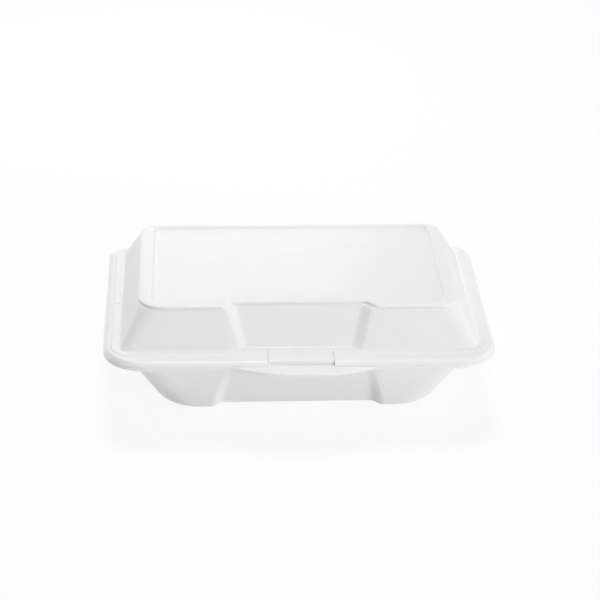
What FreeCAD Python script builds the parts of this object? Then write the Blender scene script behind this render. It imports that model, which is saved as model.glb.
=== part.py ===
# Hinged foam lunch box: a deep tray and a shallow lid, thermoformed as one sheet of white foam.
# The rear rims are pressed thin along the fold between them, which closes into a small round bead,
# and a tongue cut free in the lid's front rim tucks down through a slot in the tray's front lip.
# Millimetres. +Z is up, the front lip faces -Y, and the origin is under the middle of the closed
# box at the height of the table.
import FreeCAD, Part
import math
import os

# Overall sizes of the closed box
rim_length = 240.0
rim_depth = 155.0
closed_height = 70.0
mating_height = 48.0

# Foam thickness: walls as formed, rims pressed harder
tray_wall = 2.6
lid_wall = 2.2
tray_rim = 2.5
lid_rim = 2.3

# Outline of the tray's rim, and how far the lid's rim lies inside it
rim_front_radius = 25.0
rim_back_radius = 11.0
rim_edge_bevel = 0.7
lid_rim_side_inset = 4.0
lid_rim_front_inset = 3.0

# Tray walls: how far inside the rim's edge they start below it and end at the foot
tray_side_top = 11.0
tray_side_foot = 32.5
tray_front_top = 13.0
tray_front_foot = 31.0
tray_back_top = 7.0
tray_back_foot = 24.0
tray_top_corner = 17.0
tray_foot_corner = 27.0
tray_back_top_corner = 12.0
tray_back_foot_corner = 22.0
tray_root_radius = 2.0
tray_foot_radius = 5.0
foot_band = 6.0
foot_slant = 2.5
panel_lift = 1.2

# Lid walls: the same, from the top of the lid's rim up to the crest
lid_side_root = 10.3
lid_side_crest = 21.4
lid_front_root = 14.6
lid_front_crest = 36.0
lid_back_root = 4.6
lid_back_crest = 8.0
lid_root_corner = 16.0
lid_crest_corner = 16.0
lid_back_root_corner = 9.0
lid_back_crest_corner = 11.0
lid_root_radius = 2.5
lid_crest_radius = 2.2
crest_flat = 0.8
crest_band = 6.2
panel_sink = 2.3

# Set-back middle of the front, in the tray and in the lid: half widths at the rim and far from it.
# The tray's feet beside it keep a straight front of their own width.
tray_bay_rim = 38.5
tray_foot_front = 7.0
tray_bay_depth = 5.8
lid_bay_rim = 34.5
lid_bay_far = 41.0
lid_bay_depth = 5.9
bay_jog = 6.5

# Closure: the lip on the tray, the slot in it and the tongue that fills it
lip_width = 78.0
lip_reach = 8.2
lip_blend = 14.0
tongue_width = 38.4
tongue_thickness = 2.0
tongue_face = 4.2
tongue_below_lip = 3.2
tongue_bend = 2.2
tongue_gap = 0.5
slot_front_gap = 1.1
slit_width = 0.8

# Fold: thickness left at it, which is also the radius of the bead that it makes round its axis,
# width of the pressed strip, free space between the bead and the lid, and the bead's shorter ends
fold_thickness = 0.7
fold_strip = 2.6
fold_gap = 0.2
fold_end_inset = 2.0

# Small cross marks pressed in both side rims, a little in front of their middle
mark_width = 2.4
mark_depth = 0.5
mark_forward = 3.0

# Steps in which a rounding and the straight wall between two roundings are lofted
rounding_steps = 3
wall_steps = 6

# Places worked out from the sizes above
front_y = lip_reach - (lip_reach + rim_depth + fold_thickness) / 2
back_y = front_y + rim_depth
mid_y = (front_y + back_y) / 2
tray_bay_far = rim_length / 2 - tray_side_foot - tray_foot_corner - tray_foot_front - bay_jog
lid_top_of_rim = mating_height + lid_rim
tray_bottom_of_rim = mating_height - tray_rim


def point(x, y, z):
    """A point or a direction."""
    return FreeCAD.Vector(x, y, z)


def line(start, end):
    """A straight edge."""
    return Part.LineSegment(start, end).toShape()


def corner(start, centre, end, radius):
    """A quarter turn from start to end about centre."""
    middle = (start + end) * 0.5 - centre
    middle.normalize()
    return Part.Arc(start, centre + middle * radius, end).toShape()


def jog(start, end):
    """An S-shaped edge that leaves and arrives along X."""
    half = (end.x - start.x) / 2
    curve = Part.BezierCurve()
    curve.setPoles([start, start + point(half, 0, 0), end - point(half, 0, 0), end])
    return curve.toShape()


def outline(z, side, front, back, front_radius, back_radius, bay_half, bay_depth):
    """A level wire, its sides lying inside the rim's edge by side, front and back.

    Its corners are rounded, and the middle of its front is set back by bay_depth."""
    x = rim_length / 2 - side
    y0 = front_y + front
    y1 = back_y - back
    rf = front_radius
    rb = back_radius
    bay_y = y0 + bay_depth
    left_out = point(-bay_half - bay_jog, y0, z)
    left_in = point(-bay_half, bay_y, z)
    right_in = point(bay_half, bay_y, z)
    right_out = point(bay_half + bay_jog, y0, z)
    front_right = [point(x - rf, y0, z), point(x - rf, y0 + rf, z), point(x, y0 + rf, z)]
    back_right = [point(x, y1 - rb, z), point(x - rb, y1 - rb, z), point(x - rb, y1, z)]
    back_left = [point(rb - x, y1, z), point(rb - x, y1 - rb, z), point(-x, y1 - rb, z)]
    front_left = [point(-x, y0 + rf, z), point(rf - x, y0 + rf, z), point(rf - x, y0, z)]
    return Part.Wire([
        line(front_left[2], left_out),
        jog(left_out, left_in),
        line(left_in, right_in),
        jog(right_in, right_out),
        line(right_out, front_right[0]),
        corner(*front_right, rf),
        line(front_right[2], back_right[0]),
        corner(*back_right, rb),
        line(back_right[2], back_left[0]),
        corner(*back_left, rb),
        line(back_left[2], front_left[0]),
        corner(*front_left, rf),
    ])


class Wall:
    """The slanted face of one wall, as an inset from the rim's edge at each distance from the rim.

    It is straight from root to far, with a hollow rounding at the rim and a full one at the
    far edge, so that it runs into the level faces at both ends."""

    def __init__(self, root, far, tall, root_radius, far_radius):
        self.root = root
        self.tall = tall
        self.slope = (far - root) / tall
        self.root_radius = root_radius
        self.far_radius = far_radius
        turn = math.atan2(1.0, self.slope)
        self.root_reach = root_radius * (1 - math.cos(turn))
        self.far_reach = far_radius * (1 - math.cos(turn))
        self.root_start = root + self.slope * self.root_reach - root_radius * math.sin(turn)
        self.far_end = far - self.slope * self.far_reach + far_radius * math.sin(turn)

    def thinned(self, thickness, start, tall, root_radius, far_radius):
        """The inner face of the same wall: start is its distance from the rim's outer face."""
        shift = thickness * math.hypot(1.0, self.slope)
        root = self.root + self.slope * start + shift
        return Wall(root, root + self.slope * tall, tall, root_radius, far_radius)

    def inset(self, distance):
        """How far the face lies inside the rim's edge at this distance from the rim."""
        left = self.tall - distance
        if distance < self.root_reach:
            drop = self.root_radius - distance
            return self.root_start + math.sqrt(self.root_radius ** 2 - drop ** 2)
        if left < self.far_reach:
            drop = self.far_radius - left
            return self.far_end - math.sqrt(self.far_radius ** 2 - drop ** 2)
        return self.root + self.slope * distance


class Pan:
    """One face, outer or inner, of a drafted pan with a set-back bay in its front.

    up is 1 for the lid, whose walls rise from the rim, and -1 for the tray, whose walls fall."""

    def __init__(self, start_z, up, walls, front_corners, back_corners, bay_halves, bay_depth):
        self.start_z = start_z
        self.up = up
        self.side, self.front, self.back = walls
        self.front_corners = front_corners
        self.back_corners = back_corners
        self.bay_halves = bay_halves
        self.bay_depth = bay_depth
        self.tall = self.side.tall

    def along(self, ends, distance):
        """A size that changes evenly from the rim to the far edge."""
        return ends[0] + (ends[1] - ends[0]) * distance / self.tall

    def level(self, distance):
        """The outline at a distance from the rim."""
        return outline(
            self.start_z + self.up * distance,
            self.side.inset(distance),
            self.front.inset(distance),
            self.back.inset(distance),
            self.along(self.front_corners, distance),
            self.along(self.back_corners, distance),
            self.along(self.bay_halves, distance),
            self.bay_depth * distance / self.tall,
        )

    def far_level(self, inward, back_off, straight):
        """An outline inward of the far edge, and back_off nearer the rim's height.

        Where straight is true its front runs straight behind the bay."""
        bay_half = self.bay_halves[1] / 2 if straight else self.bay_halves[1] + inward
        bay_depth = 0.0 if straight else self.bay_depth
        return outline(
            self.start_z + self.up * (self.tall - back_off),
            self.side.inset(self.tall) + inward,
            self.front.inset(self.tall) + inward + self.bay_depth - bay_depth,
            self.back.inset(self.tall) + inward,
            self.front_corners[1] - inward,
            self.back_corners[1] - inward,
            bay_half,
            bay_depth,
        )

    def levels(self):
        """Distances of the sections that follow the two roundings and the wall between them."""
        walls = [self.side, self.front, self.back]
        near = max(wall.root_reach for wall in walls)
        far = max(wall.far_reach for wall in walls)
        steps = [math.sin(math.pi / 2 * i / rounding_steps) for i in range(rounding_steps + 1)]
        rising = [near * (1 - step) for step in reversed(steps)]
        falling = [self.tall - far * (1 - step) for step in steps]
        straight = falling[0] - near
        wall = [near + straight * i / wall_steps for i in range(1, wall_steps)]
        return rising + wall + falling

    def solid(self, flat, band, sink, straight):
        """The pan filled up, its far face a flat ring, a slanted band and a sunk middle panel."""
        body = Part.makeLoft([self.level(distance) for distance in self.levels()], True, True)
        panel = Part.makeLoft([
            self.far_level(flat, 0.0, straight),
            self.far_level(flat + band, sink, straight),
        ], True, True)
        return body.cut(panel)


def outer_pan(up, rim_face, tall, insets, radii, front_corners, back_corners, bay_halves, bay_depth):
    """The outer face of a pan, from pairs of insets for its side, front and back walls."""
    walls = [Wall(root, far, tall, *radii) for root, far in insets]
    return Pan(rim_face, up, walls, front_corners, back_corners, bay_halves, bay_depth)


def inner_pan(outer, thickness, rim_thickness):
    """The inner face of the same pan, open at the mating plane."""
    start = -rim_thickness
    tall = outer.tall + rim_thickness - thickness
    root_radius = outer.side.root_radius + rim_thickness
    far_radius = max(outer.side.far_radius - thickness, thickness / 2)
    walls = [
        wall.thinned(thickness, start, tall, root_radius, far_radius)
        for wall in (outer.side, outer.front, outer.back)
    ]
    front_corners = [radius - thickness for radius in outer.front_corners]
    back_corners = [radius - thickness for radius in outer.back_corners]
    bay_halves = [half + thickness for half in outer.bay_halves]
    return Pan(
        mating_height, outer.up, walls, front_corners, back_corners, bay_halves, outer.bay_depth
    )


def lid_plate():
    """The lid's rim as one rounded plate, its long edges eased. It ends in front of the fold."""
    wire = outline(
        mating_height, lid_rim_side_inset, lid_rim_front_inset, fold_thickness + fold_gap,
        rim_front_radius - lid_rim_front_inset, rim_back_radius - lid_rim_side_inset / 2,
        lid_bay_rim, 0.0,
    )
    plate = Part.Face(wire).extrude(point(0, 0, lid_rim))
    return eased(plate.removeSplitter())


def eased(plate):
    """The plate with its front and side edges bevelled, above and below."""
    keep = back_y - rim_back_radius
    edges = [
        edge for edge in plate.Edges
        if edge.BoundBox.ZLength < rim_edge_bevel and edge.BoundBox.YMin < keep
    ]
    return plate.makeChamfer(rim_edge_bevel, edges)


def lip():
    """The arc of rim that stands out in front, blended into the rim's straight edge."""
    z = tray_bottom_of_rim
    half = lip_width / 2
    root_y = front_y + tray_front_top
    arc = Part.Arc(
        point(-half, front_y, z), point(0, front_y - lip_reach, z), point(half, front_y, z)
    ).toShape()
    ends = [
        line(point(half, front_y, z), point(half, root_y, z)),
        line(point(half, root_y, z), point(-half, root_y, z)),
        line(point(-half, root_y, z), point(-half, front_y, z)),
    ]
    return Part.Face(Part.Wire([arc] + ends)).extrude(point(0, 0, tray_rim))


def tray_plate():
    """The tray's rim with its lip, one plate with blended and eased edges."""
    wire = outline(
        tray_bottom_of_rim, 0.0, 0.0, 0.0, rim_front_radius, rim_back_radius, tray_bay_rim, 0.0
    )
    plate = Part.Face(wire).extrude(point(0, 0, tray_rim)).fuse(lip()).removeSplitter()
    blends = [
        edge for edge in plate.Edges
        if edge.BoundBox.ZLength > tray_rim / 2
        and abs(abs(edge.BoundBox.Center.x) - lip_width / 2) < 0.1
    ]
    return eased(plate.makeFillet(lip_blend, blends))


def block(x0, x1, y0, y1, z0, z1):
    """A plain box between two corners."""
    return Part.makeBox(x1 - x0, y1 - y0, z1 - z0, point(x0, y0, z0))


def prism(section, width):
    """A closed outline of (y, z) points, extruded to both sides of the middle."""
    points = [point(-width / 2, y, z) for y, z in section]
    return Part.Face(Part.makePolygon(points + points[:1])).extrude(point(width, 0, 0))


def fold_cut(face_z, up):
    """What is pressed away along a rear rim: up is 1 above the lid's rim, -1 below the tray's."""
    web_z = mating_height + up * fold_thickness
    section = [
        (back_y - fold_thickness - fold_strip, face_z),
        (back_y - fold_thickness - fold_strip / 3, web_z),
        (back_y + fold_gap, web_z),
        (back_y + fold_gap, face_z + up),
        (back_y - fold_thickness - fold_strip, face_z + up),
    ]
    return prism(section, rim_length)


def fold_bead():
    """The closed fold: a thin round bead on the axis, along the straight of the rear rim."""
    half = rim_length / 2 - rim_back_radius - fold_end_inset
    return Part.makeCylinder(
        fold_thickness, 2 * half, point(-half, back_y, mating_height), point(1, 0, 0)
    )


def rim_marks(z0, z1, side_inset):
    """Two shallow cross marks over the side rims, as cutters."""
    half = mark_width / 2
    mark_y = mid_y - mark_forward
    outer_x = rim_length / 2
    inner_x = outer_x - lid_side_root
    right = block(inner_x, outer_x - side_inset + 1, mark_y - half, mark_y + half, z0, z1)
    left = block(side_inset - 1 - outer_x, -inner_x, mark_y - half, mark_y + half, z0, z1)
    return right.fuse(left)


def slot():
    """The slot in the lip, round the tongue."""
    tongue_y = front_y + tongue_face
    half = tongue_width / 2 + tongue_gap
    return block(
        -half, half,
        tongue_y - slot_front_gap, tongue_y + tongue_thickness + tongue_gap,
        tray_bottom_of_rim - 1, mating_height + 1,
    )


def tray():
    """The tray: recessed pan, rim, lip with its slot, and the pressed half of the fold."""
    insets = [
        (tray_side_top, tray_side_foot),
        (tray_front_top, tray_front_foot),
        (tray_back_top, tray_back_foot),
    ]
    outer = outer_pan(
        -1, tray_bottom_of_rim, tray_bottom_of_rim, insets, (tray_root_radius, tray_foot_radius),
        (tray_top_corner, tray_foot_corner), (tray_back_top_corner, tray_back_foot_corner),
        (tray_bay_rim, tray_bay_far), tray_bay_depth,
    )
    inner = inner_pan(outer, tray_wall, tray_rim)
    shell = outer.solid(foot_band, foot_slant, panel_lift, True).fuse(tray_plate())
    shell = shell.cut(inner.solid(foot_band, foot_slant, panel_lift, True))
    shell = shell.cut(slot())
    shell = shell.cut(fold_cut(tray_bottom_of_rim, -1))
    return shell.fuse(fold_bead()).removeSplitter()


def tongue():
    """The tongue: level with the lid's rim, then bent down through the lip."""
    face = front_y + tongue_face
    back = face + tongue_thickness
    root = front_y + lid_front_root + lid_wall
    tip = tray_bottom_of_rim - tongue_below_lip
    section = [
        (root, mating_height),
        (root, lid_top_of_rim),
        (face, lid_top_of_rim),
        (face, tip),
        (back, tip),
        (back, mating_height),
    ]
    plate = prism(section, tongue_width)
    bend = [
        edge for edge in plate.Edges
        if edge.BoundBox.XLength > tongue_width / 2
        and abs(edge.BoundBox.YMin - face) < 0.01
        and abs(edge.BoundBox.ZMax - lid_top_of_rim) < 0.01
    ]
    return plate.makeFillet(tongue_bend, bend)


def tongue_cut():
    """The stretch of the lid's rim that the tongue takes the place of, slits included."""
    half = tongue_width / 2 + slit_width
    return block(
        -half, half, front_y, front_y + lid_front_root - lid_root_radius,
        mating_height - 1, lid_top_of_rim + 1,
    )


def lid():
    """The lid: recessed pan, rim with its tongue, and the pressed half of the fold."""
    insets = [
        (lid_side_root, lid_side_crest),
        (lid_front_root, lid_front_crest),
        (lid_back_root, lid_back_crest),
    ]
    outer = outer_pan(
        1, lid_top_of_rim, closed_height - lid_top_of_rim, insets,
        (lid_root_radius, lid_crest_radius),
        (lid_root_corner, lid_crest_corner), (lid_back_root_corner, lid_back_crest_corner),
        (lid_bay_rim, lid_bay_far), lid_bay_depth,
    )
    inner = inner_pan(outer, lid_wall, lid_rim)
    plate = lid_plate().cut(tongue_cut()).fuse(tongue())
    shell = outer.solid(crest_flat, crest_band, panel_sink, False).fuse(plate)
    shell = shell.cut(inner.solid(crest_flat, crest_band, panel_sink, False))
    marks = rim_marks(lid_top_of_rim - mark_depth, lid_top_of_rim + 1, lid_rim_side_inset)
    return shell.cut(marks).cut(fold_cut(lid_top_of_rim, 1)).removeSplitter()


def save(name, shape):
    """Writes one piece and says how it came out."""
    box = shape.BoundBox
    print(name, "valid", shape.isValid(), "solids", len(shape.Solids), "volume", round(shape.Volume))
    print("  from", [round(v, 2) for v in (box.XMin, box.YMin, box.ZMin)],
          "to", [round(v, 2) for v in (box.XMax, box.YMax, box.ZMax)])
    shape.exportStep("parts/" + name + ".step")


os.makedirs("parts", exist_ok=True)
save("base_tray", tray())
save("lid", lid())
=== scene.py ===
"""Dresses the hinged foam lunch box: smooth skins for its tray and lid, the film of its fold, and
a plain studio round them.

Lengths are in metres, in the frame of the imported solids: +Z is up and the front lip faces -Y."""

import logging
import math
from dataclasses import astuple, dataclass, field, replace
from enum import Enum
from typing import Any, Callable, Sequence, Union

import bmesh
import bpy
from mathutils import Matrix, Vector, noise

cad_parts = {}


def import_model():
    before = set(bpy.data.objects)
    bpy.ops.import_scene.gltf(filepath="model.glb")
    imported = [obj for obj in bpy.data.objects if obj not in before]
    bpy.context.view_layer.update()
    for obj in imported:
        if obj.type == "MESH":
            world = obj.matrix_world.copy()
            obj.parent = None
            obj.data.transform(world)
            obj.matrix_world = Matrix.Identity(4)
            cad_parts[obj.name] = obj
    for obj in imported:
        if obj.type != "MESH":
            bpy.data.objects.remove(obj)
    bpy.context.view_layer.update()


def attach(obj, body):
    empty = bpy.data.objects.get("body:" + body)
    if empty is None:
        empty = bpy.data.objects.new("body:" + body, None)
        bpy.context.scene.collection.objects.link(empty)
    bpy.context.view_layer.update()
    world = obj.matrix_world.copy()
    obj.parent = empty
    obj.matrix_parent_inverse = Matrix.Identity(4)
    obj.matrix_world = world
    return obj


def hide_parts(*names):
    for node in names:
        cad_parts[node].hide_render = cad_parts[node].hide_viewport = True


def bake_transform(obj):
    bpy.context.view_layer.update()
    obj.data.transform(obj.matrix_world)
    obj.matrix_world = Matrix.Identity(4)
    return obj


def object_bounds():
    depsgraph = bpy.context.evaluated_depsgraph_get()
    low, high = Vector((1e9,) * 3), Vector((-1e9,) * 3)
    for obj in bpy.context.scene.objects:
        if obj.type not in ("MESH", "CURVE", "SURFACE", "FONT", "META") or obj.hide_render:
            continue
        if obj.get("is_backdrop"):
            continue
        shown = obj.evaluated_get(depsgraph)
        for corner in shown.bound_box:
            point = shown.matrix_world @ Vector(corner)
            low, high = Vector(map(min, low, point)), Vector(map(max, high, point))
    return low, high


LOG = logging.getLogger("lunch_box")

# Overall sizes, as in the solids
RIM_LENGTH = 0.240
RIM_DEPTH = 0.155
LIP_REACH = 0.0082
FOLD_THICKNESS = 0.0007
CLOSED_HEIGHT = 0.070
MATING_HEIGHT = 0.048
FRONT_Y = LIP_REACH - (LIP_REACH + RIM_DEPTH + FOLD_THICKNESS) / 2
BACK_Y = FRONT_Y + RIM_DEPTH

# How the front comes forward beside its set-back middle, and how the lip runs out into the rim
BAY_JOG = 0.0072
JOG_ROUNDING = 0.25
LIP_HALF = 0.0445
LIP_FLATNESS = 2.7
LIP_BLEND = 1.5

# The pressed strip: its width, the share of it that slopes, and how far from the rims it reaches
FOLD_STRIP = 0.0026
FOLD_SLOPE = 0.7
RIM_REACH = 0.004

# Places nearer than this count as one, and a normal that passes this share faces along the axis
CLOSE = 1e-5
FACING = 0.9

WHITE = (1.0, 1.0, 1.0, 1.0)

# Edges along each stretch of a level line, from the front middle round to the back middle
BAY_EDGES = 12
JOG_EDGES = 8
LOBE_EDGES = 10
CORNER_EDGES = 12
SIDE_EDGES = 28
FRONT_EDGES = 2 * (BAY_EDGES + JOG_EDGES + LOBE_EDGES)
RING_EDGES = 2 * (FRONT_EDGES + SIDE_EDGES + 2 * CORNER_EDGES)
GRID_COLUMNS = FRONT_EDGES + CORNER_EDGES
GRID_ROWS = SIDE_EDGES + CORNER_EDGES
PLACE = "place"


@dataclass(frozen=True)
class Level:
    """One level line round the box, given by how far it lies inside the edge of the tray's rim.

    Attributes:
        side: inset of the left and right sides.
        front: inset of the front.
        back: inset of the back.
        height: height over the table.
        front_corner: radius of the front corners.
        back_corner: radius of the back corners.
        bay_half: half width of the set-back middle of the front.
        bay_depth: how far that middle is set back.
        lip: how far the middle of the front stands out instead.
    """

    side: float
    front: float
    back: float
    height: float
    front_corner: float
    back_corner: float
    bay_half: float
    bay_depth: float = 0.0
    lip: float = 0.0

    def mix(self, other: "Level", share: float) -> "Level":
        """A line between this one and another.

        Args:
            other: the line at share 1.
            share: how far towards the other line, from 0 to 1.

        Returns:
            The line between them.
        """
        pairs = zip(astuple(self), astuple(other))
        return Level(*[mine + (theirs - mine) * share for mine, theirs in pairs])

    def at_height(self, height: float) -> "Level":
        """The same line at another height."""
        return replace(self, height=height)

    def reach_to(self, other: "Level") -> float:
        """The distance to another line along the skin, measured on the side wall."""
        return math.hypot(other.side - self.side, other.height - self.height)

    def right_half(self) -> list[tuple[float, float]]:
        """The places (x, y) of the line's right half, from the front middle to the back middle."""
        x_side = RIM_LENGTH / 2 - self.side
        y_front = FRONT_Y + self.front
        y_back = BACK_Y - self.back
        y_bay = y_front + self.bay_depth
        x_lobe = self.bay_half + BAY_JOG
        x_front = x_side - self.front_corner
        x_back = x_side - self.back_corner
        line = [(self.bay_half * i / BAY_EDGES, y_bay) for i in range(BAY_EDGES)]
        for i in range(JOG_EDGES):
            along = i / JOG_EDGES
            line.append((self.bay_half + BAY_JOG * along, y_bay - self.bay_depth * jog_share(along)))
        for i in range(LOBE_EDGES):
            line.append((x_lobe + (x_front - x_lobe) * i / LOBE_EDGES, y_front))
        for i in range(CORNER_EDGES):
            turn = math.pi / 2 * i / CORNER_EDGES
            line.append((
                x_front + self.front_corner * math.sin(turn),
                y_front + self.front_corner * (1 - math.cos(turn)),
            ))
        y_start = y_front + self.front_corner
        y_end = y_back - self.back_corner
        for i in range(SIDE_EDGES):
            line.append((x_side, y_start + (y_end - y_start) * i / SIDE_EDGES))
        for i in range(CORNER_EDGES):
            turn = math.pi / 2 * i / CORNER_EDGES
            line.append((
                x_back + self.back_corner * math.cos(turn),
                y_end + self.back_corner * math.sin(turn),
            ))
        half_back = FRONT_EDGES // 2
        line += [(x_back * (1 - i / half_back), y_back) for i in range(half_back + 1)]
        return [(x, y - self.lip * lip_share(x)) for x, y in line[:half_back]] + line[half_back:]

    def points(self) -> list[Vector]:
        """The places of the whole line, anticlockwise from the front middle."""
        right = self.right_half()
        left = [(-x, y) for x, y in reversed(right[1:-1])]
        return [Vector((x, y, self.height)) for x, y in right + left]


def jog_share(along: float) -> float:
    """How far the front has come forward again on the way from its set-back middle to a lobe.

    Args:
        along: share of the way, from 0 to 1.

    Returns:
        A share that rises evenly, with its first and last stretch rounded.
    """
    slope = 1 / (1 - JOG_ROUNDING)
    near = min(along, 1 - along)
    eased = near * near / (2 * JOG_ROUNDING) if near < JOG_ROUNDING else near - JOG_ROUNDING / 2
    return slope * eased if along <= 0.5 else 1 - slope * eased


def lip_share(x: float) -> float:
    """How far the lip stands out at x, as a share of its reach.

    Args:
        x: distance from the middle of the front.

    Returns:
        A share from 0, where the lip has run into the rim, to 1 in the middle.
    """
    reach = min(1.0, abs(x) / LIP_HALF)
    return (1 - reach ** LIP_FLATNESS) ** LIP_BLEND


@dataclass(frozen=True)
class Knee:
    """A level line at which a skin turns, and how softly it does.

    Attributes:
        level: the sharp line that the rounding replaces.
        soft: how far the rounding reaches along the skin, to both sides.
        bends: edges across the rounding.
        spans: edges across the straight run to the next knee.
    """

    level: Level
    soft: float
    bends: int
    spans: int


def rounded(knees: Sequence[Knee]) -> list[Level]:
    """Turns sharp knees into the level lines of a smooth skin.

    Args:
        knees: the knees in their order along the skin; the first and the last stay sharp.

    Returns:
        Every level line, from the first knee to the last.
    """
    lines = [knees[0].level]
    for before, knee, after in zip(knees, knees[1:], knees[2:]):
        start = knee.level.mix(before.level, knee.soft / knee.level.reach_to(before.level))
        end = knee.level.mix(after.level, knee.soft / knee.level.reach_to(after.level))
        lines += straight(lines[-1], start, before.spans)
        for i in range(1, knee.bends + 1):
            share = i / knee.bends
            lines.append(start.mix(knee.level, share).mix(knee.level.mix(end, share), share))
    lines += straight(lines[-1], knees[-1].level, knees[-2].spans)
    return lines


def straight(start: Level, end: Level, spans: int) -> list[Level]:
    """The lines after start, up to and with end, in even steps."""
    return [start.mix(end, i / spans) for i in range(1, spans + 1)]


def thinned(root: Level, far: Level, here: Level, thickness: float, inward: float) -> Level:
    """The line of a wall's inner face that belongs to a line of its outer face.

    Args:
        root: the line where the wall meets the rim.
        far: the line where it meets the crest or the foot.
        here: the one of the two that is wanted.
        thickness: thickness of the foam.
        inward: 1 where the inside lies above the line, -1 where it lies below.

    Returns:
        The inner line.
    """
    rise = far.height - root.height
    lift = inward * thickness
    insets = []
    for name in ("side", "front", "back"):
        slope = (getattr(far, name) - getattr(root, name)) / rise
        insets.append(getattr(here, name) + slope * lift + thickness * math.hypot(1.0, slope))
    return Level(
        *insets,
        height=here.height + lift,
        front_corner=here.front_corner - thickness,
        back_corner=here.back_corner - thickness,
        bay_half=here.bay_half + thickness,
        bay_depth=here.bay_depth,
    )


def clear_selection() -> None:
    """Deselects every object."""
    bpy.ops.object.select_all(action="DESELECT")


def enter_edit(kind: str) -> None:
    """Goes into edit mode, choosing vertices, edges or faces, with nothing selected."""
    bpy.ops.object.mode_set(mode="EDIT")
    bpy.ops.mesh.select_mode(type=kind)
    bpy.ops.mesh.select_all(action="DESELECT")


def choose(obj: bpy.types.Object, test: Callable[[Any], bool], kind: str) -> None:
    """Selects the elements of the mesh in edit mode that pass a test.

    Args:
        obj: the object in edit mode.
        test: says whether one edge or face is wanted.
        kind: edges or faces.
    """
    mesh = bmesh.from_edit_mesh(obj.data)
    for element in getattr(mesh, kind):
        if test(element):
            element.select_set(True)
    mesh.select_flush_mode()
    bmesh.update_edit_mesh(obj.data)


def pick(obj: bpy.types.Object) -> None:
    """Selects one object alone and makes it the active one."""
    clear_selection()
    obj.select_set(True)
    bpy.context.view_layer.objects.active = obj


def close_edit() -> None:
    """Turns every face of the mesh in edit mode outwards and goes back to object mode."""
    bpy.ops.mesh.select_all(action="SELECT")
    bpy.ops.mesh.normals_make_consistent(inside=False)
    bpy.ops.object.mode_set(mode="OBJECT")


def combine(obj: bpy.types.Object, cutter: bpy.types.Object, operation: str) -> None:
    """Joins a cutter to an object, or cuts it out of the object, and deletes the cutter.

    Args:
        obj: the object that is kept.
        cutter: the other solid.
        operation: UNION or DIFFERENCE.
    """
    pick(obj)
    step = obj.modifiers.new("combine", "BOOLEAN")
    step.operation = operation
    step.solver = "EXACT"
    step.object = cutter
    bpy.ops.object.modifier_apply(modifier=step.name)
    bpy.data.objects.remove(cutter)


def solid_block(place: Sequence[float], size: Sequence[float]) -> bpy.types.Object:
    """Adds a block to cut or join with, and leaves it selected.

    Args:
        place: its middle.
        size: its size along X, Y and Z.

    Returns:
        The block, with its place in its mesh.
    """
    clear_selection()
    bpy.ops.mesh.primitive_cube_add(size=1.0, location=place, scale=size)
    obj = bpy.context.object
    pick(obj)
    bpy.ops.object.transform_apply(location=True, rotation=True, scale=True)
    return obj


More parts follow.
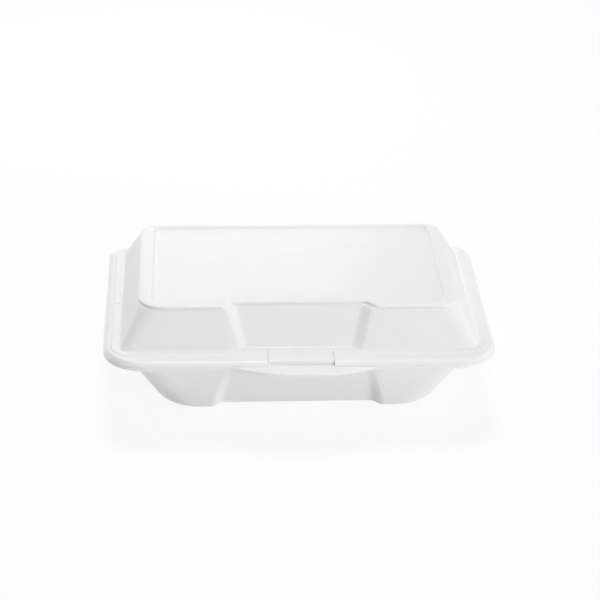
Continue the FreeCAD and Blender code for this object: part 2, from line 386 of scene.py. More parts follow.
class SkinBuilder:
    """Draws a closed foam shell: a level panel, ring after ring out to the rim and back inside
    it, and a second level panel."""

    def __init__(self, name: str, lines: Sequence[Level], lid_side_up: bool) -> None:
        """Keeps what the shell is drawn from.

        Args:
            name: name of the piece.
            lines: level lines from the outer panel, over the rim's edge, to the inner panel.
            lid_side_up: whether the outer panel faces up, as on a lid.
        """
        self.name = name
        self.lines = lines
        self.lid_side_up = lid_side_up

    def build(self) -> bpy.types.Object:
        """Draws the shell.

        Returns:
            The new object, at the origin.
        """
        clear_selection()
        self.add_grid()
        obj = bpy.context.object
        obj.name = self.name
        obj.data.name = self.name
        obj.data.attributes.new(PLACE, "INT", "POINT")
        bpy.ops.object.mode_set(mode="EDIT")
        bpy.ops.mesh.select_mode(type="VERT")
        self.lay_panel(obj, self.lines[0], self.lid_side_up)
        bpy.ops.mesh.select_mode(type="EDGE")
        bpy.ops.mesh.region_to_loop()
        for line in self.lines[1:-1]:
            self.draw_ring(obj, line)
        bpy.ops.mesh.select_all(action="DESELECT")
        self.add_grid()
        self.lay_panel(obj, self.lines[-1], not self.lid_side_up)
        bpy.ops.mesh.select_all(action="DESELECT")
        choose(obj, lambda edge: edge.is_boundary, "edges")
        bpy.ops.mesh.bridge_edge_loops()
        bpy.ops.object.mode_set(mode="OBJECT")
        return obj

    @staticmethod
    def add_grid() -> None:
        """Adds the unit grid that a panel is laid from."""
        bpy.ops.mesh.primitive_grid_add(
            x_subdivisions=GRID_COLUMNS, y_subdivisions=GRID_ROWS, size=1.0
        )

    @staticmethod
    def grid_place(column: int, row: int) -> int:
        """The place on the ring of a grid's border vertex, or -1 inside the grid."""
        if row == 0:
            return (column - GRID_COLUMNS // 2) % RING_EDGES
        if column == GRID_COLUMNS:
            return GRID_COLUMNS // 2 + row
        if row == GRID_ROWS:
            return GRID_COLUMNS // 2 + GRID_ROWS + GRID_COLUMNS - column
        if column == 0:
            return GRID_COLUMNS // 2 + 2 * GRID_ROWS + GRID_COLUMNS - row
        return -1

    def lay_panel(self, obj: bpy.types.Object, line: Level, face_up: bool) -> None:
        """Fits the selected grid into a level line.

        Args:
            obj: the object in edit mode.
            line: the line that the grid's border takes.
            face_up: whether the grid faces up.
        """
        points = line.points()
        corners = {
            (c, r): points[self.grid_place(c * GRID_COLUMNS, r * GRID_ROWS)]
            for c in (0, 1) for r in (0, 1)
        }
        mesh = bmesh.from_edit_mesh(obj.data)
        layer = mesh.verts.layers.int[PLACE]
        for vert in mesh.verts:
            if not vert.select:
                continue
            column = round((vert.co.x + 0.5) * GRID_COLUMNS)
            row = round((vert.co.y + 0.5) * GRID_ROWS)
            u = column / GRID_COLUMNS
            v = row / GRID_ROWS
            front = points[self.grid_place(column, 0)]
            back = points[self.grid_place(column, GRID_ROWS)]
            left = points[self.grid_place(0, row)]
            right = points[self.grid_place(GRID_COLUMNS, row)]
            near = corners[0, 0] * (1 - u) + corners[1, 0] * u
            far = corners[0, 1] * (1 - u) + corners[1, 1] * u
            place = self.grid_place(column, row)
            vert[layer] = place
            if place >= 0:
                vert.co = points[place]
            else:
                across = front * (1 - v) + back * v
                along = left * (1 - u) + right * u
                vert.co = across + along - near * (1 - v) - far * v
        bmesh.update_edit_mesh(obj.data)
        if not face_up:
            bpy.ops.mesh.flip_normals()

    def draw_ring(self, obj: bpy.types.Object, line: Level) -> None:
        """Extrudes the selected ring of edges and moves the new one onto a level line."""
        bpy.ops.mesh.extrude_edges_move()
        points = line.points()
        mesh = bmesh.from_edit_mesh(obj.data)
        layer = mesh.verts.layers.int[PLACE]
        for vert in mesh.verts:
            if vert.select:
                vert.co = points[vert[layer]]
        bmesh.update_edit_mesh(obj.data)


@dataclass(frozen=True)
class Dent:
    """A shallow dent or swelling in the foam.

    Attributes:
        place: its middle.
        reach: distance over which it fades along X, Y and Z.
        push: how far the foam is moved there, as a vector.
    """

    place: tuple[float, float, float]
    reach: tuple[float, float, float]
    push: tuple[float, float, float]

    def at(self, point: Vector) -> Vector:
        """The move that the dent gives a point."""
        shares = [(p - m) / r for p, m, r in zip(point, self.place, self.reach)]
        return Vector(self.push) * math.exp(-sum(share * share for share in shares))


@dataclass(frozen=True)
class Handling:
    """The slight unevenness of formed foam: broad waves, small ripples and the panel's crown.

    Attributes:
        wave: size of the broad waves' move.
        wave_length: their length.
        ripple: size of the small ripples' move.
        ripple_length: their length.
        firm_height: height over the table below which the foot stays level.
        dents: single dents or swellings, here the crown of the top panel.
        seed: seed of the waves and ripples, which makes every run the same.
    """

    wave: float = 0.00045
    wave_length: float = 0.060
    ripple: float = 0.00010
    ripple_length: float = 0.014
    firm_height: float = 0.012
    dents: tuple[Dent, ...] = (
        Dent((0.0, 0.020, 0.068), (0.130, 0.045, 0.010), (0.0, 0.0, 0.0013)),
    )
    seed: int = 4

    def move(self, point: Vector) -> Vector:
        """How far the foam at a point is moved.

        Args:
            point: a place in the even shape.

        Returns:
            The move as a vector.
        """
        broad = noise.noise_vector(point / self.wave_length) * self.wave
        small = noise.noise_vector(point / self.ripple_length) * self.ripple
        total = broad + small
        total.z *= min(1.0, max(0.0, point.z / self.firm_height))
        for dent in self.dents:
            total += dent.at(point)
        return total

    def settle(self, obj: bpy.types.Object, lowest: Vector, highest: Vector) -> None:
        """Moves every vertex of a piece, and keeps it inside a box.

        Args:
            obj: the piece.
            lowest: lowest corner of the box.
            highest: highest corner of the box.
        """
        noise.seed_set(self.seed)
        for vert in obj.data.vertices:
            moved = vert.co + self.move(vert.co)
            limits = zip(moved, lowest, highest)
            vert.co = Vector([min(max(value, low), high) for value, low, high in limits])
        obj.data.update()


def press_fold(obj: bpy.types.Object, left: float) -> None:
    """Presses a shell's rear rim thin towards the mating plane.

    Args:
        obj: the shell.
        left: share of the thickness that is left at the fold.
    """
    start = BACK_Y - FOLD_THICKNESS - FOLD_STRIP
    for vert in obj.data.vertices:
        off = vert.co.z - MATING_HEIGHT
        if vert.co.y > start and abs(off) < RIM_REACH:
            depth = min(1.0, (vert.co.y - start) / (FOLD_STRIP * FOLD_SLOPE))
            eased = depth * depth * (3 - 2 * depth)
            vert.co.z = MATING_HEIGHT + off * (1 - (1 - left) * eased)


@dataclass
class LidSkin:
    """The lid: a shallow drafted pan with a raised crest, a set-back front and a flat rim.

    Attributes:
        thickness: thickness of the foam.
        rim_top: height of the rim's upper side.
        panel_height: height of the sunk top panel.
        bay_depth: how far the middle of the crest's front is set back.
        brow_side: inset of the crest's outer edge at the sides.
        brow_drop: how far that edge lies under the crest.
        rib_height: height of the crest's rib over the wall.
        rib_lean: how far the rib's foot stands outside its edge at the sides.
        shoulder_drop: height of the step under the rib's foot.
        gutter: how deep the gutter lies in the rim.
        bead: how far the bead stands out of the rim.
        flange_lift: thickness of the flange's edge.
        flange_gap: gap between the flange and the tray's rim.
        tongue_half: half width of the tongue.
        tongue_thickness: its thickness.
        tongue_sink: how far its top lies under the rim's.
        tongue_root: distance from the rim's front to where it leaves the rim.
        tongue_front: distance from the rim's front to its face.
        tongue_bend: outer radius of its bend.
        tongue_tip: height of its tip.
        tongue_round: radius of the tip's corners.
        slit: width of the slit at each side of it.
        window_start: how far before the rim's front the cut for its window begins.
        crease_front: distance from the rim's front to the end of that window.
        slit_end: distance from the rim's front to the ends of the slits.
        overlap: how far the cuts for the slits reach into the window.
        mark_place: place (x, y) of the small mark across the right side's bead.
        mark_size: the mark's length and width.
        mark_depth: its depth.
        mark_cut: height of the block that cuts it.
        fold_left: share of the rim's thickness that is left at the fold.
    """

    thickness: float = 0.00225
    rim_top: float = 0.0503
    panel_height: float = 0.0672
    bay_depth: float = 0.0059
    brow_side: float = 0.0214
    brow_drop: float = 0.0008
    rib_height: float = 0.0021
    rib_lean: float = 0.0001
    shoulder_drop: float = 0.0008
    gutter: float = 0.0002
    bead: float = 0.0004
    flange_lift: float = 0.0003
    flange_gap: float = 0.00003
    tongue_half: float = 0.0197
    tongue_thickness: float = 0.0020
    tongue_sink: float = 0.00006
    tongue_root: float = 0.0120
    tongue_front: float = 0.0031
    tongue_bend: float = 0.0017
    tongue_tip: float = 0.0423
    tongue_round: float = 0.0022
    slit: float = 0.00015
    window_start: float = 0.001
    crease_front: float = 0.0103
    slit_end: float = 0.0149
    overlap: float = 0.0002
    mark_place: tuple[float, float] = (0.1128, 0.00075)
    mark_size: tuple[float, float] = (0.0063, 0.0024)
    mark_depth: float = 0.0003
    mark_cut: float = 0.002
    fold_left: float = 0.32

    def pan_knees(self) -> list[Knee]:
        """The knees of the outer skin, from the sunk panel over the crest to the foot of the wall."""
        top = CLOSED_HEIGHT
        low = self.panel_height
        bay = self.bay_depth
        edge = self.brow_side
        # Each line: side, front and back inset, height, front and back corner, bay half width, depth
        panel = Level(0.0345, 0.0452, 0.0160, low, 0.0060, 0.0025, 0.0450, bay)
        step = Level(0.0308, 0.0410, 0.0124, low, 0.0090, 0.0030, 0.0434, bay)
        flat = Level(0.0290, 0.0388, 0.0086, top, 0.0105, 0.0045, 0.0424, bay)
        crest = Level(0.0244, 0.0378, 0.0082, top, 0.0138, 0.0098, 0.0412, bay)
        brow = Level(edge, 0.0360, 0.0076, top - self.brow_drop, 0.0142, 0.0100, 0.0410, bay)
        under = top - self.rib_height
        below = under - self.shoulder_drop
        valley = self.rim_top - self.gutter
        rib_foot = Level(edge - self.rib_lean, 0.0362, 0.0079, under, 0.0138, 0.0098, 0.0400, bay)
        shoulder = Level(0.0204, 0.0351, 0.0075, below, 0.0130, 0.0094, 0.0382, bay)
        root = Level(0.0103, 0.0156, 0.0046, valley, 0.0055, 0.0060, 0.0312, 0.0030)
        # Each knee: its line, how soft it is, edges across it, edges to the next
        return [
            Knee(panel, 0.0, 0, 2),
            Knee(step, 0.0008, 4, 2),
            Knee(flat, 0.0009, 4, 3),
            Knee(crest, 0.0008, 5, 1),
            Knee(brow, 0.0005, 5, 1),
            Knee(rib_foot, 0.0003, 3, 1),
            Knee(shoulder, 0.0004, 3, 9),
            Knee(root, 0.0008, 4, 1),
        ]

    def rim_knees(self) -> list[Knee]:
        """The knees of the rim's upper side: the bead along the wall, a gutter and the flange."""
        high = self.rim_top + self.bead
        valley = self.rim_top - self.gutter
        flange = MATING_HEIGHT + self.flange_lift
        return [
            Knee(Level(0.0094, 0.0150, 0.0039, high, 0.0072, 0.0070, 0.0320, 0.0022), 0.0006, 4, 2),
            Knee(Level(0.0056, 0.0122, 0.0032, high, 0.0105, 0.0085, 0.0345), 0.0006, 4, 2),
            Knee(Level(0.0040, 0.0090, 0.0025, valley, 0.0145, 0.0090, 0.0345), 0.0005, 3, 1),
            Knee(Level(0.0029, 0.0040, 0.0020, self.rim_top, 0.0205, 0.0095, 0.0345), 0.0008, 5, 3),
            Knee(Level(0.0005, 0.0004, 0.0009, flange, 0.0246, 0.0106, 0.0345), 0.0001, 2, 1),
        ]

    def lines(self) -> list[Level]:
        """Every level line of the closed shell."""
        pan = self.pan_knees()
        rim = self.rim_knees()
        panel, step, flat, crest, _, _, _, root = [knee.level for knee in pan]
        drop = -self.thickness
        under = rim[-1].level.at_height(MATING_HEIGHT + self.flange_gap)
        foot = root.at_height(self.rim_top)
        inner = [
            Knee(under, 0.00006, 2, 4),
            Knee(thinned(foot, crest, foot, self.thickness, -1.0), 0.0028, 5, 6),
            Knee(thinned(foot, crest, crest, self.thickness, -1.0), 0.0006, 3, 1),
            Knee(flat.at_height(CLOSED_HEIGHT + drop), 0.0006, 2, 3),
            Knee(step.at_height(self.panel_height + drop), 0.0008, 3, 2),
            Knee(panel.at_height(self.panel_height + drop), 0.0, 0, 1),
        ]
        return rounded(pan + rim + inner)

    def tongue(self) -> bpy.types.Object:
        """The tongue that is cut free in the rim and bends down through the lip.

        Returns:
            The tongue as a solid of its own, which reaches into the rim's root.
        """
        thick = self.tongue_thickness
        top = self.rim_top - self.tongue_sink
        root_y = FRONT_Y + self.tongue_root
        bend_y = FRONT_Y + self.tongue_front + self.tongue_bend
        bend_z = top - self.tongue_bend
        obj = solid_block(
            (0.0, (root_y + bend_y) / 2, top - thick / 2),
            (2 * self.tongue_half, root_y - bend_y, thick),
        )
        enter_edit("FACE")
        choose(obj, lambda face: face.normal.y < -FACING, "faces")
        bpy.ops.mesh.spin(
            steps=6, angle=math.pi / 2, center=(0.0, bend_y, bend_z), axis=(-1.0, 0.0, 0.0)
        )
        bpy.ops.mesh.extrude_region_move(
            TRANSFORM_OT_translate={"value": (0.0, 0.0, self.tongue_tip - bend_z)}
        )
        bpy.ops.mesh.select_mode(type="EDGE")
        bpy.ops.mesh.select_all(action="DESELECT")
        choose(obj, self.is_tip_corner, "edges")
        bpy.ops.mesh.bevel(offset=self.tongue_round, segments=5, affect="EDGES")
        close_edit()
        return obj

    def is_tip_corner(self, edge: bmesh.types.BMEdge) -> bool:
        """Whether an edge of the tongue is one of the two short ones at its tip's corners."""
        first, second = [vert.co for vert in edge.verts]
        outside = abs(first.x) > self.tongue_half - CLOSE
        across = abs(first.x - second.x) < CLOSE
        return outside and across and max(first.z, second.z) < self.tongue_tip + CLOSE

    def tongue_blocks(self) -> list[bpy.types.Object]:
        """What is cut out of the rim for the tongue: its window and the ends of its two slits."""
        half = self.tongue_half + self.slit
        y_near = FRONT_Y - self.window_start
        y_far = FRONT_Y + self.crease_front
        y_end = FRONT_Y + self.slit_end
        middle = self.rim_top - self.thickness / 2
        tall = 3 * self.thickness
        window = solid_block((0.0, (y_near + y_far) / 2, middle), (2 * half, y_far - y_near, tall))
        ends = [
            solid_block(
                (side * (half - self.slit / 2), (y_far + y_end) / 2, middle),
                (self.slit, y_end - y_far + self.overlap, tall),
            )
            for side in (-1.0, 1.0)
        ]
        return [window, *ends]

    def mark_block(self, side: float) -> bpy.types.Object:
        """What is cut out of the bead at one side: a small mark across it.

        Args:
            side: 1 for the right side, -1 for the left.

        Returns:
            The block to cut with.
        """
        x, y = self.mark_place
        height = self.rim_top + self.bead - self.mark_depth + self.mark_cut / 2
        return solid_block((side * x, y, height), (*self.mark_size, self.mark_cut))

    def build(self) -> bpy.types.Object:
        """Models the lid.

        Returns:
            The lid as one closed shell.
        """
        obj = SkinBuilder("lid_shell", self.lines(), True).build()
        for block in self.tongue_blocks():
            combine(obj, block, "DIFFERENCE")
        combine(obj, self.tongue(), "UNION")
        for side in (-1.0, 1.0):
            combine(obj, self.mark_block(side), "DIFFERENCE")
        press_fold(obj, self.fold_left)
        return obj


@dataclass
class TraySkin:
    """The tray: a deep drafted pan with a raised underside panel, a set-back front and a lip.

    Attributes:
        thickness: thickness of the foam.
        rim_bottom: height of the rim's lower side.
        panel_lift: height of the underside's middle panel over the table.
        slot_half: half length of the slot in the lip.
        slot_near: distance from the rim's front to the slot's near side.
        slot_far: distance from the rim's front to its far side.
        slot_cut: height of the block that cuts it.
        slot_round: radius of its corners, as a share of its width.
        fold_left: share of the rim's thickness that is left at the fold.
    """

    thickness: float = 0.0025
    rim_bottom: float = 0.0455
    panel_lift: float = 0.0012
    slot_half: float = 0.01978
    slot_near: float = 0.0030
    slot_far: float = 0.0060
    slot_cut: float = 0.012
    slot_round: float = 0.3
    fold_left: float = 0.28

    def outer_knees(self) -> list[Knee]:
        """The knees of the outer skin, from the underside panel out to the rim's lower edge."""
        lift = self.panel_lift
        panel = Level(0.0482, 0.0527, 0.0400, lift, 0.0145, 0.0095, 0.040)
        slant = Level(0.0442, 0.0487, 0.0360, lift, 0.0185, 0.0135, 0.040)
        flat = Level(0.0417, 0.0462, 0.0335, 0.0, 0.0210, 0.0160, 0.040)
        foot = Level(0.0325, 0.0310, 0.0240, 0.0, 0.0270, 0.0220, 0.0470, 0.0058)
        root = Level(0.0110, 0.0130, 0.0070, self.rim_bottom, 0.0170, 0.0120, 0.0385)
        edge = Level(0.0, 0.0, 0.0, self.rim_bottom, 0.025, 0.011, 0.0385, 0.0, LIP_REACH)
        return [
            Knee(panel, 0.0, 0, 2),
            Knee(slant, 0.0012, 3, 1),
            Knee(flat, 0.0012, 3, 3),
            Knee(foot, 0.0034, 9, 12),
            Knee(root, 0.0016, 5, 6),
            Knee(edge, 0.0009, 4, 1),
        ]

    def lines(self) -> list[Level]:
        """Every level line of the closed shell."""
        outer = self.outer_knees()
        panel, slant, flat, foot, root, edge = [knee.level for knee in outer]
        inner = [
            Knee(edge.at_height(MATING_HEIGHT), 0.0003, 3, 6),
            Knee(thinned(root, foot, root, self.thickness, 1.0), 0.0030, 5, 9),
            Knee(thinned(root, foot, foot, self.thickness, 1.0), 0.0022, 6, 3),
            Knee(flat.at_height(self.thickness), 0.0012, 3, 1),
            Knee(slant.at_height(self.panel_lift + self.thickness), 0.0012, 3, 2),
            Knee(panel.at_height(self.panel_lift + self.thickness), 0.0, 0, 1),
        ]
        return rounded(outer + inner)

    def slot_block(self) -> bpy.types.Object:
        """What is cut out of the lip for the tongue, with rounded ends."""
        deep = self.slot_far - self.slot_near
        middle = FRONT_Y + (self.slot_near + self.slot_far) / 2
        size = (2 * self.slot_half, deep, self.slot_cut)
        obj = solid_block((0.0, middle, self.rim_bottom), size)
        enter_edit("EDGE")
        choose(obj, lambda edge: abs(edge.verts[0].co.z - edge.verts[1].co.z) > CLOSE, "edges")
        bpy.ops.mesh.bevel(offset=deep * self.slot_round, segments=4, affect="EDGES")
        bpy.ops.object.mode_set(mode="OBJECT")
        return obj

    def build(self) -> bpy.types.Object:
        """Models the tray.

        Returns:
            The tray as one closed shell.
        """
        obj = SkinBuilder("tray_shell", self.lines(), False).build()
        combine(obj, self.slot_block(), "DIFFERENCE")
        press_fold(obj, self.fold_left)
        return obj


@dataclass
class FoldFilm:
    """The pressed film that joins the rear rims, folded round the hinge's axis.

    Attributes:
        half_length: half its length along the fold.
        outer_radius: radius of its outer face round the axis.
        inner_radius: radius of its inner face.
        leg: how far it reaches between the rims, from the axis.
    """

    half_length: float = 0.107
    outer_radius: float = 0.00065
    inner_radius: float = 0.00020
    leg: float = 0.0016

    def build(self) -> bpy.types.Object:
        """Models the film as it lies when the box is closed.

        Returns:
            The folded film.
        """
        thick = self.outer_radius - self.inner_radius
        middle = MATING_HEIGHT - (self.outer_radius + self.inner_radius) / 2
        obj = solid_block((0.0, BACK_Y - self.leg / 2, middle), (2 * self.half_length, self.leg, thick))
        obj.name = "fold_film"
        obj.data.name = "fold_film"
        enter_edit("FACE")
        choose(obj, lambda face: face.normal.y > FACING, "faces")
        bpy.ops.mesh.spin(
            steps=12, angle=math.pi, center=(0.0, BACK_Y, MATING_HEIGHT), axis=(-1.0, 0.0, 0.0)
        )
        bpy.ops.mesh.extrude_region_move(TRANSFORM_OT_translate={"value": (0.0, -self.leg, 0.0)})
        close_edit()
        return obj


Number = Union["Value", float]
Inputs = dict[Any, Any]


class Value:
    """A number that a node gives, to be used in Python expressions."""

    def __init__(self, graph: "Graph", socket: bpy.types.NodeSocket) -> None:
        """Keeps the socket that gives the number."""
        self.graph = graph
        self.socket = socket

    def joined(self, operation: str, first: Number, second: Number) -> "Value":
        """A Math node of two numbers."""
        made = self.graph.node("ShaderNodeMath", {"operation": operation}, {0: first, 1: second})
        return Value(self.graph, made.outputs[0])

    def __add__(self, other: Number) -> "Value":
        """This number plus another."""
        return self.joined("ADD", self, other)

    def __radd__(self, other: Number) -> "Value":
        """Another number plus this one."""
        return self.joined("ADD", other, self)

    def __sub__(self, other: Number) -> "Value":
        """This number less another."""
        return self.joined("SUBTRACT", self, other)

    def __rsub__(self, other: Number) -> "Value":
        """Another number less this one."""
        return self.joined("SUBTRACT", other, self)

    def __mul__(self, other: Number) -> "Value":
        """This number times another."""
        return self.joined("MULTIPLY", self, other)

    def __rmul__(self, other: Number) -> "Value":
        """Another number times this one."""
        return self.joined("MULTIPLY", other, self)

    def largest(self, other: Number) -> "Value":
        """The larger of this number and another."""
        return self.joined("MAXIMUM", self, other)


class Graph:
    """A node tree that is filled by short calls."""

    def __init__(self, tree: bpy.types.NodeTree) -> None:
        """Empties a tree and keeps it."""
        self.tree = tree
        tree.nodes.clear()

    def node(self, kind: str, settings: dict[str, Any], inputs: Inputs) -> bpy.types.Node:
        """Adds a node.

        Args:
            kind: the node's type.
            settings: attributes of the node, set before its sockets.
            inputs: what each socket takes: a value, a number of another node, or a link.

        Returns:
            The new node.
        """
        made = self.tree.nodes.new(kind)
        for name, setting in settings.items():
            setattr(made, name, setting)
        for name, given in inputs.items():
            socket = made.inputs[name]
            if isinstance(given, Value):
                self.tree.links.new(given.socket, socket)
            elif isinstance(given, bpy.types.NodeSocket):
                self.tree.links.new(given, socket)
            else:
                socket.default_value = given
        return made

    def value(self, kind: str, settings: dict[str, Any], inputs: Inputs, out: str) -> Value:
        """Adds a node and gives one of its outputs as a number."""
        return Value(self, self.node(kind, settings, inputs).outputs[out])


def cloud(
    graph: Graph, place: bpy.types.NodeSocket, scale: float, detail: float, roughness: float
) -> Value:
    """A noise texture as a number.

    Args:
        graph: the nodes that it joins.
        place: the coordinates.
        scale: how many patches there are in a metre.
        detail: how many finer noises lie over the first.
        roughness: how strong they are.

    Returns:
        The noise, from 0 to 1.
    """
    inputs = {"Vector": place, "Scale": scale, "Detail": detail, "Roughness": roughness}
    return graph.value("ShaderNodeTexNoise", {}, inputs, "Fac")


@dataclass(frozen=True)
class FoamFinish:
    """White expanded foam sheet: a satin skin over pressed beads.

    Attributes:
        name: name of the material.
        light: colour of most of the skin.
        shade: colour in its slightly denser patches.
        bead_size: size of a bead.
        bead_depth: how deep the beads' outlines lie in the skin.
        roll_depth: how deep the broad marks of rolling and heating are.
        patch_scale: how many denser patches there are in a metre.
        patch_contrast: how sharply they stand out.
        patch_floor: how much of them stays plain.
        bead_shade: how much the beads' outlines darken the skin.
        roll_scale: how many broad marks.
        grain_scale: how many grains of the finest texture.
        roughness: roughness of the skin.
        roughness_spread: how far the roughness varies from patch to patch.
        shine: specular level of the skin.
    """

    name: str = "foam_skin"
    light: tuple[float, float, float, float] = (0.940, 0.939, 0.934, 1.0)
    shade: tuple[float, float, float, float] = (0.905, 0.906, 0.903, 1.0)
    bead_size: float = 0.0013
    bead_depth: float = 0.00004
    roll_depth: float = 0.00022
    patch_scale: float = 55.0
    patch_contrast: float = 1.3
    patch_floor: float = 0.35
    bead_shade: float = 0.35
    roll_scale: float = 150.0
    grain_scale: float = 2600.0
    roughness: float = 0.32
    roughness_spread: float = 0.16
    shine: float = 0.45

    def bead_distance(
        self, graph: Graph, place: bpy.types.NodeSocket, feature: str, more: Inputs
    ) -> Value:
        """The distance to the middle of the nearest bead, in bead sizes.

        Args:
            graph: the material's nodes.
            place: the coordinates.
            feature: which of the texture's distances is used.
            more: further sockets and what they take.

        Returns:
            The distance.
        """
        inputs = {"Vector": place, "Scale": 1 / self.bead_size, **more}
        return graph.value("ShaderNodeTexVoronoi", {"feature": feature}, inputs, "Distance")

    def build(self) -> bpy.types.Material:
        """Makes the material.

        Returns:
            The new material.
        """
        material = bpy.data.materials.new(self.name)
        material.use_nodes = True
        graph = Graph(material.node_tree)
        place = graph.node("ShaderNodeTexCoord", {}, {}).outputs["Object"]
        beads = self.bead_distance(graph, place, "SMOOTH_F1", {"Smoothness": 0.6})
        cells = self.bead_distance(graph, place, "F1", {})
        patches = cloud(graph, place, scale=self.patch_scale, detail=4.0, roughness=0.6)
        rolls = cloud(graph, place, scale=self.roll_scale, detail=3.0, roughness=0.5)
        grain = cloud(graph, place, scale=self.grain_scale, detail=2.0, roughness=0.6)
        mottle = patches * self.patch_contrast - self.patch_floor + cells * self.bead_shade
        colour = graph.node(
            "ShaderNodeMix",
            {"data_type": "RGBA", "clamp_factor": True},
            {0: mottle, 6: self.light, 7: self.shade},
        ).outputs[2]
        bead_bump = graph.node(
            "ShaderNodeBump",
            {"invert": True},
            {"Strength": 0.5, "Distance": self.bead_depth * 2, "Height": beads},
        ).outputs["Normal"]
        grain_bump = graph.node(
            "ShaderNodeBump",
            {},
            {"Strength": 0.3, "Distance": self.bead_depth, "Height": grain, "Normal": bead_bump},
        ).outputs["Normal"]
        roll_bump = graph.node(
            "ShaderNodeBump",
            {},
            {"Strength": 0.5, "Distance": self.roll_depth, "Height": rolls, "Normal": grain_bump},
        ).outputs["Normal"]
        smoothest = self.roughness - self.roughness_spread / 2
        skin = graph.node(
            "ShaderNodeBsdfPrincipled",
            {},
            {
                "Base Color": colour,
                "Roughness": patches * self.roughness_spread + smoothest,
                "Specular IOR Level": self.shine,
                "Normal": roll_bump,
            },
        )
        graph.node("ShaderNodeOutputMaterial", {}, {"Surface": skin.outputs["BSDF"]})
        return material


class Side(Enum):
    """Where a soft lamp stands, as its azimuth and elevation in degrees seen from the box."""

    OVERHEAD = (180.0, 74.0)
    HIGH_RIGHT = (100.0, 42.0)
    FRONT_RIGHT = (40.0, 12.0)
    BACK = (-170.0, 31.0)
    REAR_LEFT = (-129.0, 17.0)


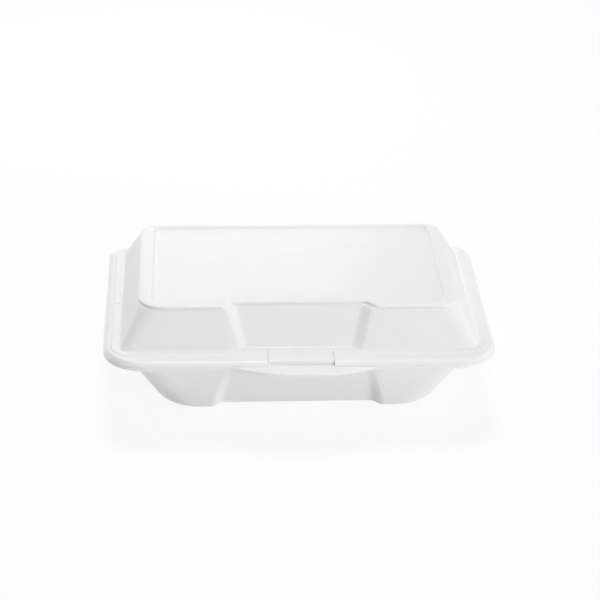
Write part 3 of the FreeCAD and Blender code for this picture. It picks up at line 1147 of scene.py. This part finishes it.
@dataclass(frozen=True)
class Studio:
    """A plain pale floor, soft lamps, a white surround and the camera of the photograph.

    Attributes:
        surround: strength of the surround's light.
        floor_size: length of the floor's sides.
        floor_colour: colour of the floor where it catches light and shadow.
        floor_white: share of plain white in what the camera sees of the floor.
        floor_glow: strength of that white.
        azimuth: the camera's azimuth in degrees.
        elevation: the camera's elevation in degrees.
        roll: the camera's roll in degrees.
        distance: distance from the camera to its target.
        target: the place that the middle of the picture shows.
        lens: focal length in millimetres.
        sensor: width of the sensor in millimetres.
        clip: nearest and farthest distance that the camera sees.
    """

    surround: float = 0.25
    floor_size: float = 30.0
    floor_colour: tuple[float, float, float, float] = (0.92, 0.92, 0.92, 1.0)
    floor_white: float = 0.85
    floor_glow: float = 1.02
    azimuth: float = -3.72
    elevation: float = 28.81
    roll: float = 1.32
    distance: float = 1.18692
    target: tuple[float, float, float] = (0.00291, 0.00375, 0.05114)
    lens: float = 112.08
    sensor: float = 36.0
    clip: tuple[float, float] = (0.05, 50.0)

    @staticmethod
    def direction(azimuth: float, elevation: float) -> Vector:
        """The direction from the box towards a lamp or camera in front of it, by its angles."""
        turn = math.radians(azimuth)
        rise = math.radians(elevation)
        return Vector((
            math.sin(turn) * math.cos(rise), -math.cos(turn) * math.cos(rise), math.sin(rise)
        ))

    def camera(self) -> None:
        """Puts the camera where the photograph was taken from."""
        data = bpy.data.cameras.new("camera")
        data.sensor_width = self.sensor
        data.lens = self.lens
        obj = bpy.data.objects.new("camera", data)
        bpy.context.scene.collection.objects.link(obj)
        back = self.direction(self.azimuth, self.elevation)
        right = Vector((0.0, 0.0, 1.0)).cross(back).normalized()
        up = back.cross(right)
        roll = math.radians(self.roll)
        turned_right = right * math.cos(roll) + up * math.sin(roll)
        turned_up = up * math.cos(roll) - right * math.sin(roll)
        frame = Matrix((turned_right, turned_up, back)).transposed().to_4x4()
        frame.translation = Vector(self.target) + back * self.distance
        obj.matrix_world = frame
        data.clip_start, data.clip_end = self.clip
        bpy.context.scene.camera = obj

    def lamp(self, name: str, side: Side, size: float, power: float, away: float = 1.6) -> None:
        """Adds one square softbox that faces the box.

        Args:
            name: name of the lamp.
            side: where it stands.
            size: length of its sides.
            power: its power in watts.
            away: its distance from the box.
        """
        data = bpy.data.lights.new(name, "AREA")
        data.shape = "SQUARE"
        data.size = size
        data.energy = power
        obj = bpy.data.objects.new(name, data)
        bpy.context.scene.collection.objects.link(obj)
        towards = self.direction(*side.value)
        obj.location = Vector(self.target) + towards * away
        obj.rotation_mode = "QUATERNION"
        obj.rotation_quaternion = towards.to_track_quat("Z", "Y")

    def seen_directly(self, graph: Graph) -> Value:
        """A number that is 1 for what the camera, a reflection or a clear body sees."""
        path = graph.node("ShaderNodeLightPath", {}, {})
        camera = Value(graph, path.outputs["Is Camera Ray"])
        glossy = Value(graph, path.outputs["Is Glossy Ray"])
        through = Value(graph, path.outputs["Is Transmission Ray"])
        return camera.largest(glossy).largest(through)

    def world(self) -> None:
        """Makes the surround: soft light for the box, and white where it is seen."""
        world = bpy.data.worlds.new("surround")
        bpy.context.scene.world = world
        world.use_nodes = True
        graph = Graph(world.node_tree)
        light = graph.node(
            "ShaderNodeBackground", {}, {"Color": WHITE, "Strength": self.surround}
        )
        white = graph.node("ShaderNodeBackground", {}, {"Color": WHITE, "Strength": 1.0})
        both = graph.node(
            "ShaderNodeMixShader",
            {},
            {0: self.seen_directly(graph), 1: light.outputs[0], 2: white.outputs[0]},
        )
        graph.node("ShaderNodeOutputWorld", {}, {"Surface": both.outputs[0]})

    def floor(self) -> None:
        """Lays the pale floor, which keeps a faint shadow."""
        clear_selection()
        bpy.ops.mesh.primitive_plane_add(size=self.floor_size, location=(0.0, 0.0, 0.0))
        obj = bpy.context.object
        obj.name = "floor"
        material = bpy.data.materials.new("floor_white")
        material.use_nodes = True
        graph = Graph(material.node_tree)
        matt = graph.node("ShaderNodeBsdfDiffuse", {}, {"Color": self.floor_colour})
        white = graph.node("ShaderNodeEmission", {}, {"Color": WHITE, "Strength": self.floor_glow})
        share = self.seen_directly(graph) * self.floor_white
        both = graph.node(
            "ShaderNodeMixShader", {}, {0: share, 1: matt.outputs[0], 2: white.outputs[0]}
        )
        graph.node("ShaderNodeOutputMaterial", {}, {"Surface": both.outputs[0]})
        obj.data.materials.append(material)
        obj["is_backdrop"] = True

    def build(self) -> None:
        """Sets the whole studio up."""
        self.camera()
        self.world()
        self.floor()
        self.lamp("overhead_softbox", Side.OVERHEAD, size=0.45, power=10.0)
        self.lamp("right_softbox", Side.HIGH_RIGHT, size=0.8, power=0.8)
        self.lamp("front_softbox", Side.FRONT_RIGHT, size=1.0, power=14.5)
        self.lamp("back_softbox", Side.BACK, size=0.45, power=0.75, away=0.7)
        self.lamp("left_softbox", Side.REAR_LEFT, size=1.0, power=4.7)
        bpy.context.scene.view_settings.view_transform = "Standard"


@dataclass
class LunchBox:
    """The whole box: its two shells, the film between them and their finish.

    Attributes:
        lid: the lid's shell.
        tray: the tray's shell.
        film: the film of the fold.
        finish: what they are all made of.
        handling: the slight unevenness of that foam.
        smooth_angle: edges that turn by less than this are shaded smooth.
    """

    lid: LidSkin = field(default_factory=LidSkin)
    tray: TraySkin = field(default_factory=TraySkin)
    film: FoldFilm = field(default_factory=FoldFilm)
    finish: FoamFinish = field(default_factory=FoamFinish)
    handling: Handling = field(default_factory=Handling)
    smooth_angle: float = math.radians(38.0)

    def dress(self, obj: bpy.types.Object, material: bpy.types.Material) -> None:
        """Gives a piece its finish and smooth shading."""
        obj.data.materials.clear()
        obj.data.materials.append(material)
        pick(obj)
        bpy.ops.object.shade_smooth_by_angle(angle=self.smooth_angle)
        LOG.info("%s: %d faces", obj.name, len(obj.data.polygons))

    def build(self) -> None:
        """Models, settles and dresses every piece, and ties the tray and the lid to their bodies."""
        lowest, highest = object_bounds()
        material = self.finish.build()
        tray = self.tray.build()
        lid = self.lid.build()
        film = self.film.build()
        for obj in (tray, lid, film):
            self.handling.settle(obj, lowest, highest)
            self.dress(obj, material)
        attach(tray, "tray")
        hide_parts("base_tray")
        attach(lid, "lid")
        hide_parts("lid")
        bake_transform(film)


def main() -> None:
    """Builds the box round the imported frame, then the studio."""
    logging.basicConfig(level=logging.INFO)
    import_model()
    LunchBox().build()
    Studio().build()


if __name__ == "__main__":
    main()
